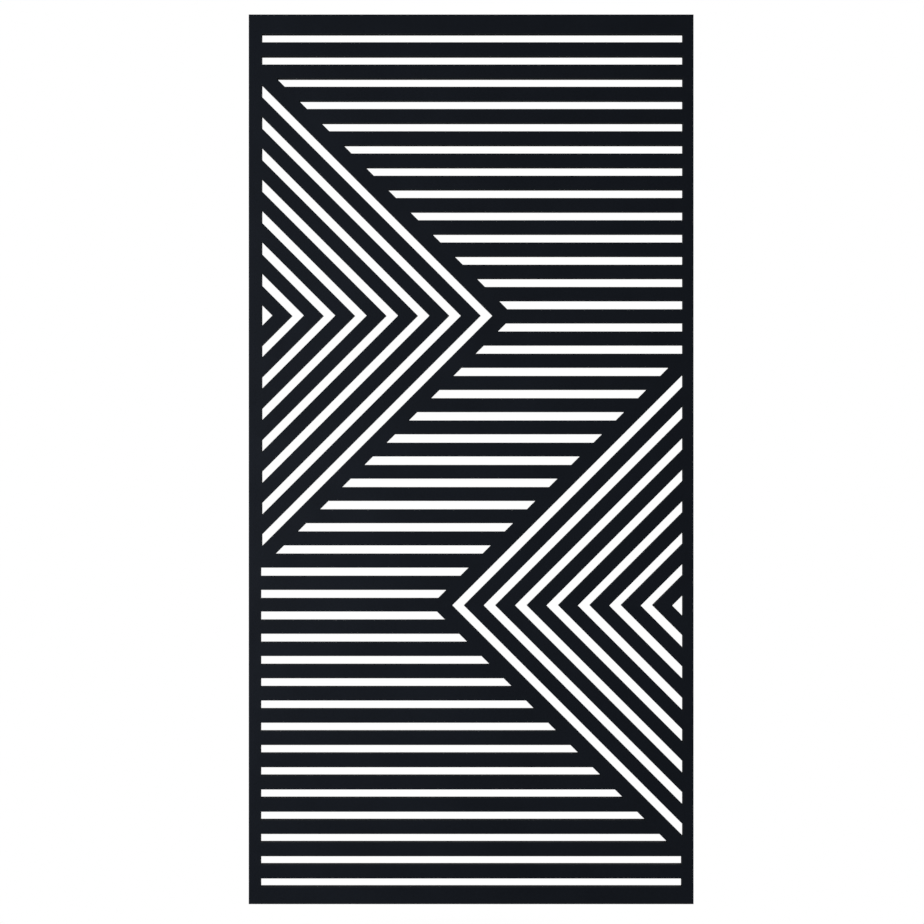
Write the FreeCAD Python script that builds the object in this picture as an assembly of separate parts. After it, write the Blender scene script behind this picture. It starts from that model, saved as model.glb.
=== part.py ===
"""Hanging room divider: one board with cut-out slots, and two folding D-ring hangers on its back.

Millimetres. X runs to the right as seen from the front, Y runs from the front to the back and Z runs up.
The origin is midway between the two rings, on the line that both of them turn about.
"""

import FreeCAD, Part
import math
import os

from FreeCAD import Vector

# Board
board_width = 900.0
board_height = 1800.0
board_thickness = 12.0
board_edge_radius = 1.0

# Slots in the board: level rows, and a nest of V-shaped slots at each side
slot_width = 17.0
slot_pitch = 45.0  # from one row to the next, and square across the legs from one V to the next
top_border = 39.3
least_bottom_border = 25.0
side_border = 23.8
pattern_shift = 2.3  # the upper rows and both nests are cut this far to the right of the middle
rows_past_point = 13  # rows between an end of the board and the bar that the nearer nest points along
lower_rows_lift = 1.25  # the rows below the lower bar are cut this much higher than the pitch puts them
point_offset = 1.2  # from the middle of the bar to the nest's point, towards the nearer end of the board
point_overlap = 40.9  # how far each nest reaches past the middle of the pattern
leg_angle = math.radians(45.0)
rim_width = 30.2  # bar between the outer V of a nest and the ends of the rows
least_v_depth = 10.0  # from the tip of the smallest V to the border

# Hangers
hanger_inset = 150.0  # from the board's side edge to the middle of a hanger
pivot_drop = 7.0  # from the board's top edge
wire_diameter = 3.5
wire_sides = 16  # flats that the round wire is drawn with
ring_inner_width = 18.5
ring_reach = 28.0  # from the pivot to the outside of the bow
ring_bend_radius = 3.0  # at the wire's centre, where the legs turn into the bar
ring_joint_gap = 0.4  # the wire's two ends meet inside the eye
ring_play = 0.3  # round the bar, in the eye
ring_side_play = 1.0  # between the eye and the bends of the ring

plate_thickness = 1.6
plate_height = 12.0
plate_end = 6.0  # beyond the screw's centre
plate_corner_radius = 4.0
neck_height = 0.5  # between the eye and the wide part of the plate
eye_turn = math.radians(280.0)  # of the rolled tongue, from the plate round the bar

# Screws
screw_diameter = 3.5
screw_length = 10.0  # under the head
screw_tip_length = 3.0
head_diameter = 7.0
head_height = 2.4
head_rim_height = 1.0
head_flat_diameter = 4.8
recess_length = 4.2
recess_width = 1.0
recess_depth = 1.3
screw_ring_gap = 3.75  # between the head and the ring's leg
plate_hole_clearance = 0.25
pilot_clearance = 0.05
pilot_extra_depth = 0.5

cut_overrun = 1.0  # how far cutting solids stand out of what they cut

# Places that follow from the sizes
wire_radius = wire_diameter / 2
eye_radius = wire_radius + ring_play
eye_outer_radius = eye_radius + plate_thickness
leg_x = ring_inner_width / 2 + wire_radius
bar_half_length = leg_x - ring_bend_radius
eye_half_width = bar_half_length - ring_side_play
bow_z = wire_radius + leg_x - ring_reach
hanger_x = board_width / 2 - hanger_inset

board_back = -eye_outer_radius
board_front = board_back - board_thickness
board_top = pivot_drop
board_bottom = board_top - board_height
plate_back = board_back + plate_thickness
plate_top = -eye_outer_radius - neck_height
plate_bottom = plate_top - plate_height

screw_radius = screw_diameter / 2
head_radius = head_diameter / 2
screw_x = leg_x + wire_radius + screw_ring_gap + head_radius
screw_z = (plate_top + plate_bottom) / 2
pilot_depth = screw_length - plate_thickness + pilot_extra_depth

first_row_depth = top_border + slot_width / 2
rows_room = board_height - top_border - slot_width - least_bottom_border
row_count = math.floor(rows_room / slot_pitch) + 1
row_half_length = board_width / 2 - side_border
leg_rise = math.tan(leg_angle)
leg_slot_run = slot_width / math.sin(leg_angle)
leg_pitch_run = slot_pitch / math.sin(leg_angle)
rim_run = rim_width / math.sin(leg_angle)

# A nest is named by the side that it opens to
LEFT = -1
RIGHT = 1


def row_z(number):
    """Middle height of a row, counted from 1 at the top."""
    lift = lower_rows_lift if number > row_count - rows_past_point else 0.0
    return board_top - first_row_depth - (number - 1) * slot_pitch + lift


def tip_x(side):
    return pattern_shift - side * point_overlap


def tip_z(side):
    rows_above = rows_past_point if side == LEFT else row_count - rows_past_point
    bar_z = (row_z(rows_above) + row_z(rows_above + 1)) / 2
    return bar_z - side * point_offset


def rim_x(side, z):
    """Where the rows end beside a nest: a V one rim outside the nest's outer slot."""
    return tip_x(side) - side * rim_run + side * abs(z - tip_z(side)) / leg_rise


def passes_below_left_nest(z):
    return z < tip_z(LEFT) and rim_x(LEFT, z) < pattern_shift - row_half_length


def row_outline(number):
    """Corners of one level row, with slanted ends where it runs up against a nest."""
    middle = row_z(number)
    top = middle + slot_width / 2
    bottom = middle - slot_width / 2
    shift = 0.0 if passes_below_left_nest(middle) else pattern_shift
    ends = {}
    for side in (LEFT, RIGHT):
        border = shift + side * row_half_length
        meets_nest = side * rim_x(side, middle) < side * border
        ends[side] = [rim_x(side, z) if meets_nest else border for z in (top, bottom)]
    return [
        (ends[LEFT][0], top),
        (ends[RIGHT][0], top),
        (ends[RIGHT][1], bottom),
        (ends[LEFT][1], bottom),
    ]


def v_outlines(side):
    """Corners of the V slots of one nest, from the outer one to the small triangle at the border."""
    border = pattern_shift + side * row_half_length
    tip = tip_x(side)
    middle = tip_z(side)
    outlines = []
    while side * (border - tip) > least_v_depth:
        outer_rise = side * (border - tip) * leg_rise
        inner_tip = tip + side * leg_slot_run
        inner_rise = side * (border - inner_tip) * leg_rise
        outline = [(border, middle + outer_rise), (tip, middle), (border, middle - outer_rise)]
        if inner_rise > 0:
            outline += [(border, middle - inner_rise), (inner_tip, middle), (border, middle + inner_rise)]
        outlines.append(outline)
        tip += side * leg_pitch_run
    return outlines


def slot_cutter(outline):
    """A prism through the whole board, from the corners of a slot."""
    corners = [Vector(x, board_front - cut_overrun, z) for x, z in outline]
    face = Part.Face(Part.makePolygon(corners + corners[:1]))
    return face.extrude(Vector(0, board_thickness + 2 * cut_overrun, 0))


def screw_places(middle_x):
    return [Vector(middle_x + side * screw_x, plate_back, screw_z) for side in (LEFT, RIGHT)]


def make_board():
    corner = Vector(-board_width / 2, board_front, board_bottom)
    blank = Part.makeBox(board_width, board_thickness, board_height, corner)
    blank = blank.makeFillet(board_edge_radius, [edge for edge in blank.Edges if not is_along_y(edge)])
    outlines = [row_outline(number) for number in range(1, row_count + 1)]
    outlines += v_outlines(LEFT) + v_outlines(RIGHT)
    cutters = [slot_cutter(outline) for outline in outlines]
    for middle_x in (-hanger_x, hanger_x):
        for place in screw_places(middle_x):
            mouth = Vector(place.x, board_back + cut_overrun, place.z)
            depth = pilot_depth + cut_overrun
            cutters.append(Part.makeCylinder(screw_radius + pilot_clearance, depth, mouth, Vector(0, -1, 0)))
    return blank.cut(cutters)


def make_plate(middle_x):
    """A flat plate with two screw holes, whose middle tongue is rolled into the eye."""
    half_width = screw_x + plate_end
    flat = Part.makeBox(
        2 * half_width, plate_thickness, plate_height, Vector(-half_width, board_back, plate_bottom)
    )
    flat = flat.makeFillet(plate_corner_radius, [edge for edge in flat.Edges if is_along_y(edge)])

    # The tongue's side view: up the board, then round the bar
    eye_end = math.pi - eye_turn
    outer_start, outer_middle, outer_end = [
        eye_point(eye_outer_radius, angle) for angle in (math.pi, math.pi - eye_turn / 2, eye_end)
    ]
    inner_start, inner_middle, inner_end = [
        eye_point(eye_radius, angle) for angle in (math.pi, math.pi - eye_turn / 2, eye_end)
    ]
    foot_front = Vector(-eye_half_width, board_back, screw_z)
    foot_back = Vector(-eye_half_width, plate_back, screw_z)
    side_view = Part.Wire(
        [
            Part.makeLine(foot_front, outer_start),
            Part.Arc(outer_start, outer_middle, outer_end).toShape(),
            Part.makeLine(outer_end, inner_end),
            Part.Arc(inner_end, inner_middle, inner_start).toShape(),
            Part.makeLine(inner_start, foot_back),
            Part.makeLine(foot_back, foot_front),
        ]
    )
    tongue = Part.Face(side_view).extrude(Vector(2 * eye_half_width, 0, 0))

    holes = [
        Part.makeCylinder(
            screw_radius + plate_hole_clearance,
            plate_thickness + 2 * cut_overrun,
            Vector(place.x, board_back - cut_overrun, place.z),
            Vector(0, 1, 0),
        )
        for place in screw_places(0.0)
    ]
    plate = flat.fuse(tongue).removeSplitter().cut(holes)
    plate.translate(Vector(middle_x, 0, 0))
    return plate


def is_along_y(edge):
    start, end = [vertex.Point for vertex in edge.Vertexes]
    return abs(end.y - start.y) > abs(end.x - start.x) + abs(end.z - start.z)


def eye_point(radius, angle):
    """A point of the eye's side view, on the tongue's left face; angle pi touches the board."""
    return Vector(-eye_half_width, radius * math.cos(angle), radius * math.sin(angle))


def make_ring(middle_x):
    """D ring of round wire: a bar in the eye, two legs and a half-round bow, hanging down."""
    bar_end = Vector(bar_half_length, 0, 0)
    bend_middle = Vector(
        bar_half_length + ring_bend_radius * math.sin(math.pi / 4),
        0,
        ring_bend_radius * (math.cos(math.pi / 4) - 1),
    )
    leg_top = Vector(leg_x, 0, -ring_bend_radius)
    leg_end = Vector(leg_x, 0, bow_z)
    bow_middle = Vector(0, 0, bow_z - leg_x)
    wire_end = Vector(ring_joint_gap / 2, 0, 0)
    path = Part.Wire(
        [
            Part.makeLine(wire_end, bar_end),
            Part.Arc(bar_end, bend_middle, leg_top).toShape(),
            Part.makeLine(leg_top, leg_end),
            Part.Arc(leg_end, bow_middle, mirrored(leg_end)).toShape(),
            Part.makeLine(mirrored(leg_end), mirrored(leg_top)),
            Part.Arc(mirrored(leg_top), mirrored(bend_middle), mirrored(bar_end)).toShape(),
            Part.makeLine(mirrored(bar_end), mirrored(wire_end)),
        ]
    )
    corners = []
    for number in range(wire_sides):
        angle = 2 * math.pi * (number + 0.5) / wire_sides
        corners.append(wire_end + Vector(0, wire_radius * math.cos(angle), wire_radius * math.sin(angle)))
    section = Part.makePolygon(corners + corners[:1])
    makes_solid = True
    ring = path.makePipeShell([section], makes_solid)
    ring.translate(Vector(middle_x, 0, 0))
    return ring


def mirrored(point):
    return Vector(-point.x, point.y, point.z)


def make_screw(place):
    """Pan-head wood screw with a cross recess; place is where its head meets the plate."""
    half_section = Part.makePolygon(
        [
            Vector(0, -screw_length, 0),
            Vector(screw_radius, screw_tip_length - screw_length, 0),
            Vector(screw_radius, 0, 0),
            Vector(head_radius, 0, 0),
            Vector(head_radius, head_rim_height, 0),
            Vector(head_flat_diameter / 2, head_height, 0),
            Vector(0, head_height, 0),
            Vector(0, -screw_length, 0),
        ]
    )
    screw = Part.Face(half_section).revolve(Vector(0, 0, 0), Vector(0, 1, 0), 360)
    recess_floor = head_height - recess_depth
    arms = []
    for length_x, length_z in ((recess_length, recess_width), (recess_width, recess_length)):
        corner = Vector(-length_x / 2, recess_floor, -length_z / 2)
        arms.append(Part.makeBox(length_x, recess_depth + cut_overrun, length_z, corner))
    screw = screw.cut(arms)
    screw.translate(place)
    return screw


def make_nodes():
    nodes = {"screen_board": make_board()}
    for name, side in (("left", LEFT), ("right", RIGHT)):
        middle_x = side * hanger_x
        nodes[name + "_hanger_plate"] = make_plate(middle_x)
        nodes[name + "_hanger_ring"] = make_ring(middle_x)
        inner_place, outer_place = sorted(screw_places(middle_x), key=lambda place: abs(place.x))
        nodes[name + "_inner_screw"] = make_screw(inner_place)
        nodes[name + "_outer_screw"] = make_screw(outer_place)
    return nodes


os.makedirs("parts", exist_ok=True)
for node_name, shape in make_nodes().items():
    solids = shape.Solids
    if len(solids) != 1 or not shape.isValid():
        raise ValueError(f"{node_name} is not one sound solid")
    solids[0].exportStep(f"parts/{node_name}.step")
    print(f"{node_name}: {solids[0].Volume:.1f} mm3")
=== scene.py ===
"""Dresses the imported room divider: finishes, rounded edges, detailed screws and rings, light and camera."""

import math

import bmesh
import bpy
from mathutils import Matrix, Vector


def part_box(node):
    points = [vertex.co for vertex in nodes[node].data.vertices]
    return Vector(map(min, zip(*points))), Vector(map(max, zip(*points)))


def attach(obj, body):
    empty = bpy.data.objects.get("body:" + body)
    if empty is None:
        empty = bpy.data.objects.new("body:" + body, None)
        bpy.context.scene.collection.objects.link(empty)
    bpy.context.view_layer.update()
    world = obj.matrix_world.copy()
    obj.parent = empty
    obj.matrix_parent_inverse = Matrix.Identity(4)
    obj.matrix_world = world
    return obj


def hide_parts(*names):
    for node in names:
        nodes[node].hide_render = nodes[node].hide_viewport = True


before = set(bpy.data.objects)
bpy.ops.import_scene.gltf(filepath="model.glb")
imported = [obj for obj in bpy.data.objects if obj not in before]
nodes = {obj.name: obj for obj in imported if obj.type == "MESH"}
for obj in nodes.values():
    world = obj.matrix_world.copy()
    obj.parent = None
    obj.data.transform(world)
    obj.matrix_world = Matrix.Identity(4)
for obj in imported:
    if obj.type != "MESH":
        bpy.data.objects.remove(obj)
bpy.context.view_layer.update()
scene = bpy.context.scene
scene.view_settings.view_transform = "Standard"

# Places are in metres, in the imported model's frame: x to the right, y away from the viewer, z up.
board_low, board_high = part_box("screen_board")
board_width = board_high.x - board_low.x
board_mid_z = (board_low.z + board_high.z) / 2
front_rounding = 0.001
outline_depth = board_low.y + front_rounding
floor_gap = 0.4
floor_z = board_low.z - floor_gap

# The photograph's frame, in its pixels. The board's middle is right of the picture's middle and above it.
picture_pixels = 924
board_pixels = 444.8
pixels_right_of_middle = 9.14
pixels_above_middle = 2.70
metres_per_pixel = board_width / board_pixels
lens = 50.0
sensor = 36.0

# Area lights: name, place, the point that it faces, width, height and watts
lights = (
    ("key", (-1.5, -1.2, -0.88), (-0.2, 0.0, -0.85), 1.0, 1.4, 28.0),
    ("top", (0.2, 0.5, 1.6), (0.0, 0.1, -0.9), 2.4, 2.0, 8.0),
    ("back", (1.6, 2.2, 0.4), (0.0, 0.0, -0.8), 1.6, 1.6, 40.0),
)
world_light = 0.38
white = 1.0

# Near the board the floor shows mostly its lamp light and the board's shadow. It is mixed with a painted
# white glow, for the rays that see it, which grows to full white further away and hides the shadow there.
floor_half_size = 12.0
floor_colour = (0.82, 0.82, 0.82, 1)
fade_start = 0.3
fade_end = 1.1
white_share_at_start = 0.45

# Radius of the rounded edges, and the flats across each rounding
board_rounding = 0.0004
plate_rounding = 0.00018
rounding_segments = 3

# Edges over sharp_angle are rounded, and break the shading. On the board the straight edges are longer than
# straight_length, and the shorter ones, at corners, break the shading at any angle over corner_angle.
sharp_angle = math.radians(40)
corner_angle = math.radians(2)
straight_length = 0.005
weld_distance = 0.000001
flat_angle = math.radians(0.5)

# A pan-head wood screw, in millimetres from the underside of its head: (height, radius) up the head
head_profile = (
    (0.0, 3.32),
    (0.12, 3.5),
    (0.8, 3.5),
    (1.2, 3.4),
    (1.65, 3.1),
    (2.02, 2.6),
    (2.25, 1.95),
    (2.36, 1.2),
    (2.4, 0.5),
)
head_height = 2.4
screw_reach = 10.0
screw_tip = 3.0
last_ring = 0.2  # the last ring of vertices, from the point
plain_shank = 1.7
crest_radius = 1.75
root_radius = 1.2
thread_pitch = 1.2
ridge_share = 0.32  # half of the thread's ridge, in turns
steps_per_turn = 6
screw_sides = 24
screw_sharp_angle = math.radians(38)

# Levels of the cross recess in its head: height, reach of an arm and half its width
recess_levels = (
    (head_height - 1.45, 0.75, 0.3),
    (head_height - 1.1, 1.35, 0.36),
    (head_height + 0.3, 2.1, 0.5),
)

# The angle, in degrees, at which each screw's recess was left
recess_turns = (("left_outer", 17), ("left_inner", 62), ("right_inner", 38), ("right_outer", 81))

# A ring of round wire
ring_bend_radius = 0.003
ring_joint_gap = 0.0004
wire_sides = 28
bend_steps = 10
bow_steps = 40


def add_camera():
    data = bpy.data.cameras.new("camera")
    data.lens = lens
    data.sensor_width = sensor
    camera = bpy.data.objects.new("camera", data)
    distance = picture_pixels * metres_per_pixel * lens / sensor
    camera.location = (
        -pixels_right_of_middle * metres_per_pixel,
        outline_depth - distance,
        board_mid_z - pixels_above_middle * metres_per_pixel,
    )
    camera.rotation_euler = (math.radians(90), 0, 0)
    scene.collection.objects.link(camera)
    scene.camera = camera


def math_node(tree, operation, first, second=0.0):
    """A Math node with two inputs, each a number or a socket."""
    node = tree.nodes.new("ShaderNodeMath")
    node.operation = operation
    for socket, value in zip(node.inputs, (first, second)):
        if isinstance(value, (int, float)):
            socket.default_value = value
        else:
            tree.links.new(value, socket)
    return node.outputs["Value"]


class Shader:
    """A material and its node tree, with short ways to add nodes and link them."""

    def __init__(self, name):
        self.material = bpy.data.materials.new(name)
        self.material.use_nodes = True
        self.tree = self.material.node_tree
        self.bsdf = self.tree.nodes["Principled BSDF"]
        self.place = self.add("ShaderNodeTexCoord").outputs["Object"]
        self.normal = self.place.node.outputs["Normal"]

    def add(self, kind, **settings):
        node = self.tree.nodes.new(kind)
        for key, value in settings.items():
            setattr(node, key, value)
        return node

    def link(self, source, target):
        self.tree.links.new(source, target)

    def feed(self, name, source):
        """Links a socket to one of the shader's inputs."""
        self.link(source, self.bsdf.inputs[name])

    def noise(self, scale, detail=2.0, roughness=0.5, stretch=None):
        """Noise with features about 1 / scale metres across, or stretched by a scale for each axis."""
        node = self.add("ShaderNodeTexNoise")
        node.inputs["Scale"].default_value = scale
        node.inputs["Detail"].default_value = detail
        node.inputs["Roughness"].default_value = roughness
        place = self.place
        if stretch:
            mapping = self.add("ShaderNodeMapping")
            mapping.inputs["Scale"].default_value = stretch
            self.link(place, mapping.inputs["Vector"])
            place = mapping.outputs["Vector"]
        self.link(place, node.inputs["Vector"])
        return node.outputs["Fac"]

    def spread(self, value, low, high, from_low=0.3, from_high=0.7):
        """Maps a value to a range, by default from the middle part of a noise's own range."""
        node = self.add("ShaderNodeMapRange")
        node.inputs["From Min"].default_value = from_low
        node.inputs["From Max"].default_value = from_high
        node.inputs["To Min"].default_value = low
        node.inputs["To Max"].default_value = high
        self.link(value, node.inputs["Value"])
        return node.outputs["Result"]

    def math(self, operation, first, second=0.0):
        return math_node(self.tree, operation, first, second)

    def mix(self, factor, first, second):
        """Mixes two colours, each a tuple or a socket."""
        node = self.add("ShaderNodeMix", data_type="RGBA")
        self.link(factor, node.inputs["Factor"])
        colours = [s for s in node.inputs if s.type == "RGBA"]
        for socket, value in zip(colours, (first, second)):
            if isinstance(value, tuple):
                socket.default_value = (*value, 1.0)
            else:
                self.link(value, socket)
        return [s for s in node.outputs if s.type == "RGBA"][0]

    def bump(self, height, distance, after=None):
        node = self.add("ShaderNodeBump")
        node.inputs["Distance"].default_value = distance
        self.link(height, node.inputs["Height"])
        if after:
            self.link(after, node.inputs["Normal"])
        return node.outputs["Normal"]


def lacquer():
    """Deep matte black lacquer, rougher on the cut edges, where it sinks into the fibreboard."""
    face_dark = (0.0026, 0.0036, 0.0056)
    face_light = (0.0089, 0.0116, 0.0171)
    edge_dark = (0.0040, 0.0052, 0.0074)
    edge_light = (0.0084, 0.0102, 0.0132)
    peel_depth = 0.00006
    fuzz_depth = 0.00025
    s = Shader("black_lacquer")
    facing = s.add("ShaderNodeSeparateXYZ")
    s.link(s.normal, facing.inputs["Vector"])
    frontward = s.math("ABSOLUTE", facing.outputs["Y"])
    cut_edge = s.spread(frontward, 1.0, 0.0, from_low=0.2, from_high=0.6)

    clouds = s.noise(6.0, detail=4.0, roughness=0.6)
    grain = s.noise(1500.0, detail=2.0, roughness=0.6)
    fibres = s.noise(700.0, detail=4.0, roughness=0.7)
    tone = s.math("ADD", s.spread(clouds, 0.0, 0.25), s.spread(grain, 0.0, 0.75))
    face_colour = s.mix(tone, face_dark, face_light)
    edge_colour = s.mix(s.spread(fibres, 0.0, 1.0), edge_dark, edge_light)
    s.feed("Base Color", s.mix(cut_edge, face_colour, edge_colour))

    hazes = s.noise(11.0, detail=2.0)
    face_roughness = s.math("ADD", s.spread(grain, -0.06, 0.06), s.spread(hazes, 0.55, 0.66))
    extra_on_edges = s.math("MULTIPLY", cut_edge, 0.3)
    s.feed("Roughness", s.math("ADD", face_roughness, extra_on_edges))
    s.bsdf.inputs["Specular IOR Level"].default_value = 0.05

    peel = s.bump(s.noise(380.0, detail=1.5), peel_depth)
    fuzz = s.math("MULTIPLY", fibres, cut_edge)
    s.feed("Normal", s.bump(fuzz, fuzz_depth, after=peel))
    return s.material


def arris_lacquer():
    """The same lacquer on the rounded arrises, which sanding and handling leave thinner and shinier."""
    thick = (0.0050, 0.0066, 0.0098)
    thin = (0.0120, 0.0136, 0.0164)
    grain_depth = 0.00003
    s = Shader("black_lacquer_arris")
    rubbed = s.noise(45.0, detail=5.0, roughness=0.65)
    s.feed("Base Color", s.mix(s.spread(rubbed, 0.0, 1.0), thick, thin))
    s.feed("Roughness", s.spread(rubbed, 0.46, 0.28))
    s.bsdf.inputs["Specular IOR Level"].default_value = 0.16
    s.feed("Normal", s.bump(s.noise(900.0), grain_depth))
    return s.material


def metal(name, dull, bright, roughness, unevenness, lines, line_depth):
    """Plated steel: dull and bright patches, and fine lines left by rolling or drawing."""
    s = Shader(name)
    patches = s.noise(230.0, detail=4.0, roughness=0.6)
    scratches = s.noise(1.0, detail=3.0, roughness=0.7, stretch=lines)
    tone = s.math("ADD", s.spread(patches, 0.0, 0.7), s.spread(scratches, 0.0, 0.3))
    s.feed("Base Color", s.mix(tone, dull, bright))
    s.bsdf.inputs["Metallic"].default_value = 1.0
    patch_roughness = s.spread(patches, roughness + unevenness, roughness - unevenness)
    line_roughness = s.spread(scratches, 0.05, -0.05)
    s.feed("Roughness", s.math("ADD", patch_roughness, line_roughness))
    s.feed("Normal", s.bump(scratches, line_depth))
    return s.material


def paint(obj, *materials):
    obj.data.materials.clear()
    for material in materials:
        obj.data.materials.append(material)


def modifier_nodes(name):
    """A geometry node group for use as a modifier, still without its nodes."""
    tree = bpy.data.node_groups.new(name, "GeometryNodeTree")
    for way in ("INPUT", "OUTPUT"):
        tree.interface.new_socket("Geometry", in_out=way, socket_type="NodeSocketGeometry")
    return tree


def pass_through(tree, node):
    """Puts a node between a group's input and its output."""
    tree.links.new(tree.nodes.new("NodeGroupInput").outputs[0], node.inputs["Geometry"])
    tree.links.new(node.outputs["Geometry"], tree.nodes.new("NodeGroupOutput").inputs[0])


def edge_angle(tree):
    return tree.nodes.new("GeometryNodeInputMeshEdgeAngle").outputs["Unsigned Angle"]


def straight_edges(tree):
    """1 for each edge that is over straight_length as seen from the front, and 0 for the others."""
    ends = tree.nodes.new("GeometryNodeInputMeshEdgeVertices")
    length = tree.nodes.new("ShaderNodeVectorMath")
    length.operation = "DISTANCE"
    for end, target in zip(("Position 1", "Position 2"), length.inputs):
        flat = tree.nodes.new("ShaderNodeVectorMath")
        flat.operation = "MULTIPLY"
        flat.inputs[1].default_value = (1, 0, 1)
        tree.links.new(ends.outputs[end], flat.inputs[0])
        tree.links.new(flat.outputs["Vector"], target)
    return math_node(tree, "GREATER_THAN", length.outputs["Value"], straight_length)


def face_arrises():
    """A geometry node group that gives a bevel weight of 1 to each sharp straight edge."""
    tree = modifier_nodes("face_arrises")
    sharp = math_node(tree, "GREATER_THAN", edge_angle(tree), sharp_angle)
    chosen = math_node(tree, "MULTIPLY", sharp, straight_edges(tree))
    store = tree.nodes.new("GeometryNodeStoreNamedAttribute")
    store.data_type = "FLOAT"
    store.domain = "EDGE"
    store.inputs["Name"].default_value = "bevel_weight_edge"
    tree.links.new(chosen, store.inputs["Value"])
    pass_through(tree, store)
    return tree


def shading_breaks(straight_only):
    """A geometry node group that breaks smooth shading at sharp edges, and at corners of straight ones."""
    tree = modifier_nodes("shading_breaks")
    limit = sharp_angle
    if straight_only:
        limit = math_node(tree, "MULTIPLY", straight_edges(tree), sharp_angle)
        limit = math_node(tree, "MAXIMUM", limit, corner_angle)
    smooth = math_node(tree, "LESS_THAN", edge_angle(tree), limit)
    shade = tree.nodes.new("GeometryNodeSetShadeSmooth")
    shade.domain = "EDGE"
    tree.links.new(smooth, shade.inputs["Shade Smooth"])
    pass_through(tree, shade)
    return tree


def round_edges(obj, radius, straight_only=False):
    """Rounds a node's sharp edges, all or the straight ones, and gives the rounding the second material."""
    weld = obj.modifiers.new("weld", "WELD")
    weld.merge_threshold = weld_distance
    flat = obj.modifiers.new("whole_faces", "DECIMATE")
    flat.decimate_type = "DISSOLVE"
    flat.angle_limit = flat_angle
    if straight_only:
        choice = obj.modifiers.new("face_arrises", "NODES")
        choice.node_group = face_arrises()
    bevel = obj.modifiers.new("rounding", "BEVEL")
    bevel.limit_method = "WEIGHT" if straight_only else "ANGLE"
    bevel.angle_limit = sharp_angle
    bevel.width = radius
    bevel.segments = rounding_segments
    bevel.material = 1
    bevel.use_clamp_overlap = False
    bevel.loop_slide = False
    breaks = obj.modifiers.new("shading_breaks", "NODES")
    breaks.node_group = shading_breaks(straight_only)
    shading = obj.modifiers.new("shading", "WEIGHTED_NORMAL")
    shading.mode = "FACE_AREA_WITH_ANGLE"
    shading.weight = 100
    shading.keep_sharp = True


def mesh_from(bm, name):
    bmesh.ops.recalc_face_normals(bm, faces=bm.faces)
    mesh = bpy.data.meshes.new(name)
    bm.to_mesh(mesh)
    bm.free()
    return mesh


def add_walls(bm, loops):
    """Faces between each loop of vertices and the next."""
    for first, second in zip(loops, loops[1:]):
        for i in range(len(first)):
            j = (i + 1) % len(first)
            bm.faces.new((first[i], first[j], second[j], second[i]))


def thread_radius(depth, angle):
    """Radius of the threaded shank at a depth under the head, at an angle round it."""
    turn = (depth / thread_pitch + angle / math.tau) % 1.0
    ridge = max(0.0, 1.0 - abs(turn - 0.5) / ridge_share)
    taper = min(1.0, (screw_reach - depth) / screw_tip)
    start = min(1.0, max(0.0, (depth - plain_shank) / thread_pitch))
    root = root_radius + (1.0 - start) * (crest_radius - root_radius)
    return taper * (root + start * ridge * (crest_radius - root_radius))


def screw_body():
    """The whole screw without its recess, turned about +Y, head upward."""
    angles = [math.tau * i / screw_sides for i in range(screw_sides)]
    rings = []
    depth_step = thread_pitch / steps_per_turn
    steps = int((screw_reach - last_ring) / depth_step)
    for step in range(steps, -1, -1):
        depth = step * depth_step
        rings.append([(-depth, thread_radius(depth, angle)) for angle in angles])
    rings += [[point] * screw_sides for point in head_profile]
    bm = bmesh.new()
    loops = []
    for ring in rings:
        loop = []
        for (height, radius), angle in zip(ring, angles):
            loop.append(bm.verts.new((radius * math.cos(angle), height, -radius * math.sin(angle))))
        loops.append(loop)
    add_walls(bm, loops)
    tip = bm.verts.new((0, -screw_reach, 0))
    crown = bm.verts.new((0, head_height, 0))
    for i in range(screw_sides):
        j = (i + 1) % screw_sides
        bm.faces.new((tip, loops[0][j], loops[0][i]))
        bm.faces.new((loops[-1][i], loops[-1][j], crown))
    return mesh_from(bm, "screw_body")


def cross(height, arm, half_width):
    """Corners of a cross at a height, anticlockwise seen along -Y."""
    quarter = [(half_width, half_width), (half_width, arm), (-half_width, arm)]
    corners = []
    for _ in range(4):
        corners += [(x, height, z) for x, z in quarter]
        quarter = [(-z, x) for x, z in quarter]
    return corners


def recess_cutter():
    """A cross that narrows downward, as the point of the tool that turns it does."""
    bm = bmesh.new()
    loops = [[bm.verts.new(corner) for corner in cross(*level)] for level in recess_levels]
    add_walls(bm, loops)
    bm.faces.new(loops[0])
    bm.faces.new(loops[-1])
    return mesh_from(bm, "recess")


def screw_mesh():
    """The screw with its recess cut, in metres."""
    body = bpy.data.objects.new("screw_body", screw_body())
    cutter = bpy.data.objects.new("recess", recess_cutter())
    scene.collection.objects.link(body)
    scene.collection.objects.link(cutter)
    cut = body.modifiers.new("recess", "BOOLEAN")
    cut.operation = "DIFFERENCE"
    cut.solver = "EXACT"
    cut.object = cutter
    depsgraph = bpy.context.evaluated_depsgraph_get()
    mesh = bpy.data.meshes.new_from_object(body.evaluated_get(depsgraph))
    bpy.data.objects.remove(body)
    bpy.data.objects.remove(cutter)
    mesh.transform(Matrix.Scale(0.001, 4))
    mesh.shade_smooth()
    mesh.set_sharp_from_angle(angle=screw_sharp_angle)
    return mesh


def add_screw(node, mesh, turn, material):
    """A detailed screw in the place of the plain one, its recess turned by an angle in degrees."""
    low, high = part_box(node)
    place = Vector(((low.x + high.x) / 2, high.y - 0.001 * head_height, (low.z + high.z) / 2))
    copy = mesh.copy()
    copy.transform(Matrix.Translation(place) @ Matrix.Rotation(math.radians(turn), 4, "Y"))
    screw = bpy.data.objects.new(node + "_detailed", copy)
    scene.collection.objects.link(screw)
    paint(screw, material)
    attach(screw, "board")
    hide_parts(node)


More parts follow.
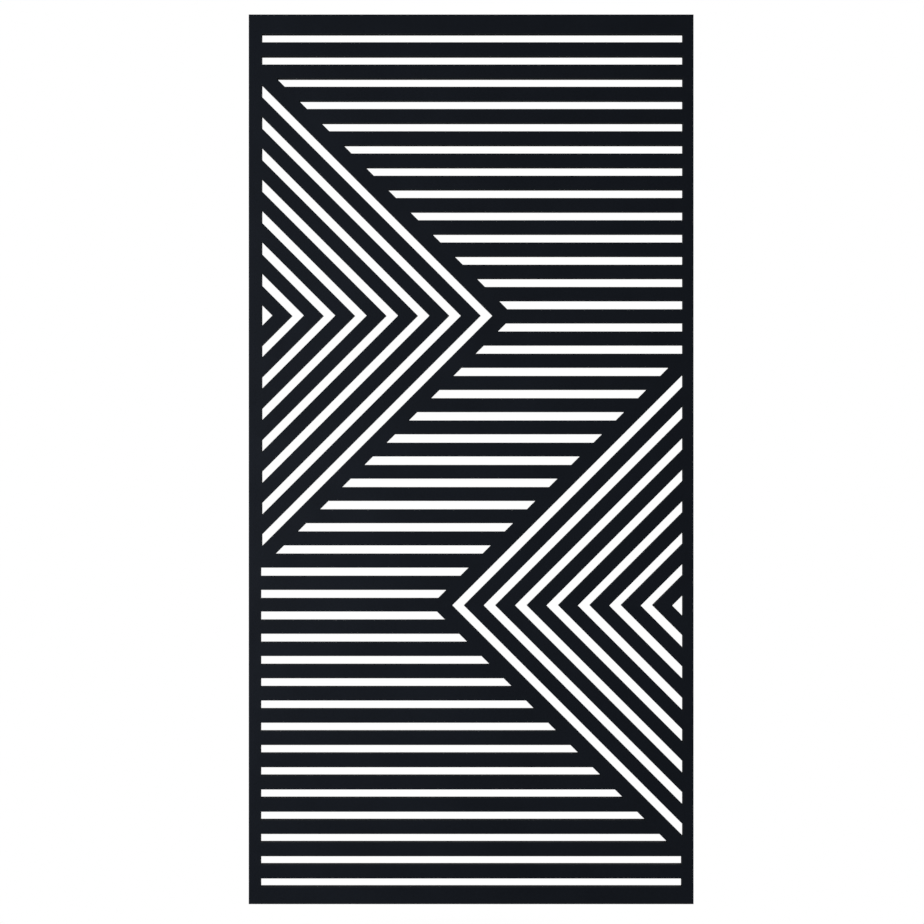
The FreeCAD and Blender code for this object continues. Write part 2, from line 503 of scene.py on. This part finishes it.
def ring_stations(leg_x, bow_z):
    """Centres (x, z) along the wire from the middle of its bar, each with the angle of its outward side."""
    bar_half = leg_x - ring_bend_radius
    quarter = math.pi / 2
    arcs = (
        (bar_half, -ring_bend_radius, ring_bend_radius, quarter, 0.0, bend_steps),
        (0.0, bow_z, leg_x, 0.0, -math.pi, bow_steps),
        (-bar_half, -ring_bend_radius, ring_bend_radius, -math.pi, -3 * quarter, bend_steps),
    )
    stations = [(ring_joint_gap / 2, 0.0, quarter)]
    for x, z, radius, start, end, steps in arcs:
        for step in range(steps + 1):
            angle = start + (end - start) * step / steps
            stations.append((x + radius * math.cos(angle), z + radius * math.sin(angle), angle))
    stations.append((-ring_joint_gap / 2, 0.0, -3 * quarter))
    return stations


def add_ring(node, body, material):
    """A smooth ring in the place of the one drawn with flats, with its bar on the frame's x axis."""
    low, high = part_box(node)
    middle_x = (low.x + high.x) / 2
    wire_radius = (high.y - low.y) / 2
    leg_x = (high.x - low.x) / 2 - wire_radius
    bow_z = low.z + wire_radius + leg_x
    bm = bmesh.new()
    loops = []
    for x, z, outward in ring_stations(leg_x, bow_z):
        loop = []
        for number in range(wire_sides):
            turn = math.tau * number / wire_sides
            out = wire_radius * math.cos(turn)
            place = (
                middle_x + x + out * math.cos(outward),
                wire_radius * math.sin(turn),
                z + out * math.sin(outward),
            )
            loop.append(bm.verts.new(place))
        loops.append(loop)
    add_walls(bm, loops)
    bm.faces.new(loops[0])
    bm.faces.new(loops[-1])
    mesh = mesh_from(bm, node + "_detailed")
    mesh.shade_smooth()
    mesh.set_sharp_from_angle(angle=sharp_angle)
    ring = bpy.data.objects.new(node + "_detailed", mesh)
    scene.collection.objects.link(ring)
    paint(ring, material)
    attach(ring, body)
    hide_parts(node)


def background_seen(tree):
    """1 for rays that show the background, straight or reflected, and 0 for those that light things."""
    path = tree.nodes.new("ShaderNodeLightPath")
    seen = path.outputs["Is Camera Ray"]
    for other in ("Is Glossy Ray", "Is Transmission Ray"):
        seen = math_node(tree, "MAXIMUM", seen, path.outputs[other])
    return seen


def floor_material():
    material = bpy.data.materials.new("floor")
    material.use_nodes = True
    tree = material.node_tree
    bsdf = tree.nodes["Principled BSDF"]
    bsdf.inputs["Base Color"].default_value = floor_colour
    bsdf.inputs["Roughness"].default_value = 0.9
    bsdf.inputs["Specular IOR Level"].default_value = 0.0
    place = tree.nodes.new("ShaderNodeTexCoord")
    away = tree.nodes.new("ShaderNodeVectorMath")
    away.operation = "LENGTH"
    tree.links.new(place.outputs["Object"], away.inputs[0])
    fade = tree.nodes.new("ShaderNodeMapRange")
    fade.interpolation_type = "SMOOTHSTEP"
    fade.inputs["From Min"].default_value = fade_start
    fade.inputs["From Max"].default_value = fade_end
    fade.inputs["To Min"].default_value = white_share_at_start
    tree.links.new(away.outputs["Value"], fade.inputs["Value"])
    # Rays that see the floor get a painted white glow, weaker near the board and full white further away.
    share = math_node(tree, "MULTIPLY", background_seen(tree), fade.outputs["Result"])
    background = tree.nodes.new("ShaderNodeEmission")
    background.inputs["Strength"].default_value = white
    mix = tree.nodes.new("ShaderNodeMixShader")
    tree.links.new(share, mix.inputs["Fac"])
    tree.links.new(bsdf.outputs["BSDF"], mix.inputs[1])
    tree.links.new(background.outputs["Emission"], mix.inputs[2])
    tree.links.new(mix.outputs["Shader"], tree.nodes["Material Output"].inputs["Surface"])
    return material


def add_floor():
    bm = bmesh.new()
    bmesh.ops.create_grid(bm, x_segments=1, y_segments=1, size=floor_half_size)
    mesh = bpy.data.meshes.new("floor")
    bm.to_mesh(mesh)
    bm.free()
    floor = bpy.data.objects.new("floor", mesh)
    floor.location = (0, 0, floor_z)
    scene.collection.objects.link(floor)
    paint(floor, floor_material())


def add_world():
    world = bpy.data.worlds.new("world")
    world.use_nodes = True
    tree = world.node_tree
    background = tree.nodes["Background"]
    background.inputs["Color"].default_value = (1, 1, 1, 1)
    strength = tree.nodes.new("ShaderNodeMapRange")
    strength.inputs["To Min"].default_value = world_light
    strength.inputs["To Max"].default_value = white
    tree.links.new(background_seen(tree), strength.inputs["Value"])
    tree.links.new(strength.outputs["Result"], background.inputs["Strength"])
    scene.world = world


def add_light(name, place, target, width, height, power):
    data = bpy.data.lights.new(name, "AREA")
    data.shape = "RECTANGLE"
    data.size = width
    data.size_y = height
    data.energy = power
    light = bpy.data.objects.new(name, data)
    light.location = place
    light.rotation_euler = (Vector(target) - Vector(place)).to_track_quat("-Z", "Y").to_euler()
    scene.collection.objects.link(light)


add_camera()
add_floor()
add_world()
for light in lights:
    add_light(*light)

board = nodes["screen_board"]
paint(board, lacquer(), arris_lacquer())
round_edges(board, board_rounding, straight_only=True)

# Scale along each axis of the fine lines in the metals
rolled = (60, 2500, 2500)
drawn = (900, 900, 900)
turned = (1400, 1400, 1400)

# The metals: name, dull colour, bright colour, roughness, its unevenness, the fine lines and their depth
plate_face = metal("zinc_plate", (0.34, 0.36, 0.38), (0.50, 0.51, 0.52), 0.37, 0.06, rolled, 0.00001)
plate_edge = metal("zinc_plate_edge", (0.46, 0.47, 0.48), (0.60, 0.60, 0.60), 0.29, 0.06, rolled, 0.00001)
ring_nickel = metal("nickel_ring", (0.39, 0.375, 0.35), (0.47, 0.45, 0.42), 0.21, 0.02, drawn, 0.000006)
screw_zinc = metal("zinc_screw", (0.38, 0.39, 0.41), (0.54, 0.55, 0.56), 0.31, 0.06, turned, 0.000008)

screw = screw_mesh()
for name, turn in recess_turns:
    add_screw(name + "_screw", screw, turn, screw_zinc)
for side in ("left", "right"):
    plate = nodes[side + "_hanger_plate"]
    paint(plate, plate_face, plate_edge)
    round_edges(plate, plate_rounding)
    add_ring(side + "_hanger_ring", side + "_ring", ring_nickel)
